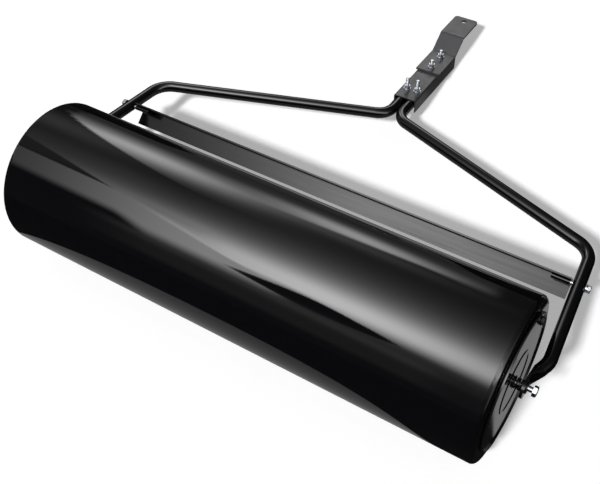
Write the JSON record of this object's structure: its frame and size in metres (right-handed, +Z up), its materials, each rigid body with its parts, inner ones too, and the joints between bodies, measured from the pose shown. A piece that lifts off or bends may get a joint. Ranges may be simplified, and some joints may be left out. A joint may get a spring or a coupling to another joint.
{
  "type": "lawn roller",
  "caption": "Towed lawn roller: a water-filled steel drum turning between the flattened ends of a bent-tube frame, with an angle cross bar and a bolted hitch channel and tow plate.",
  "frame": {"origin": "on the ground, centred under the roller at rest: the middle of the footprint, at floor height", "axes": "+X along the axle, towards the end with the filler plug; +Y forward to the hitch; +Z up"},
  "size_m": [1.0956, 1.0433, 0.3],
  "materials": {
    "drum_paint": "gloss black powder coat",
    "end_plate_paint": "semi-gloss black powder coat",
    "frame_paint": "semi-gloss black powder coat",
    "hitch_paint": "semi-gloss black powder coat",
    "zinc": "bright zinc plating",
    "black_steel": "black oxide steel",
    "plug_plastic": "moulded black nylon",
    "seal_rubber": "black rubber"
  },
  "bodies": {
    "frame": {"left_side_tube": "frame_paint", "right_side_tube": "frame_paint", "hitch_channel": "hitch_paint", "tow_plate": "hitch_paint", "clamp_bolts": "zinc", "clamp_nuts": "zinc", "clamp_washers": "zinc", "tow_plate_bolts": "zinc", "tow_plate_nuts": "zinc", "tow_plate_washers": "zinc", "cross_bar": "frame_paint", "cross_bar_sleeves": "frame_paint", "cross_bar_bolts": "zinc", "cross_bar_washers": "zinc", "cross_bar_lock_washers": "zinc"},
    "drum": {"drum_shell": "drum_paint", "left_end_plate": "end_plate_paint", "right_end_plate": "end_plate_paint", "left_hub_boss": "drum_paint", "right_hub_boss": "drum_paint", "left_axle_bolt": "zinc", "right_axle_bolt": "zinc", "axle_lock_nuts": "black_steel", "left_spring": "black_steel", "right_spring": "black_steel", "axle_washers": "black_steel", "filler_boss": "drum_paint"},
    "plug": {"filler_plug": "plug_plastic", "plug_seal": "seal_rubber"}
  },
  "joints": [
    {"name": "drum_spin", "type": "hinge", "parent": "frame", "child": "drum", "pos_m": [0, -0.37169, 0.15], "axis": [1, 0, 0], "continuous": true},
    {"name": "plug_out", "type": "slide", "parent": "drum", "child": "plug", "axis": [1, 0, 0], "range_m": [0, 0.03]}
  ]
}
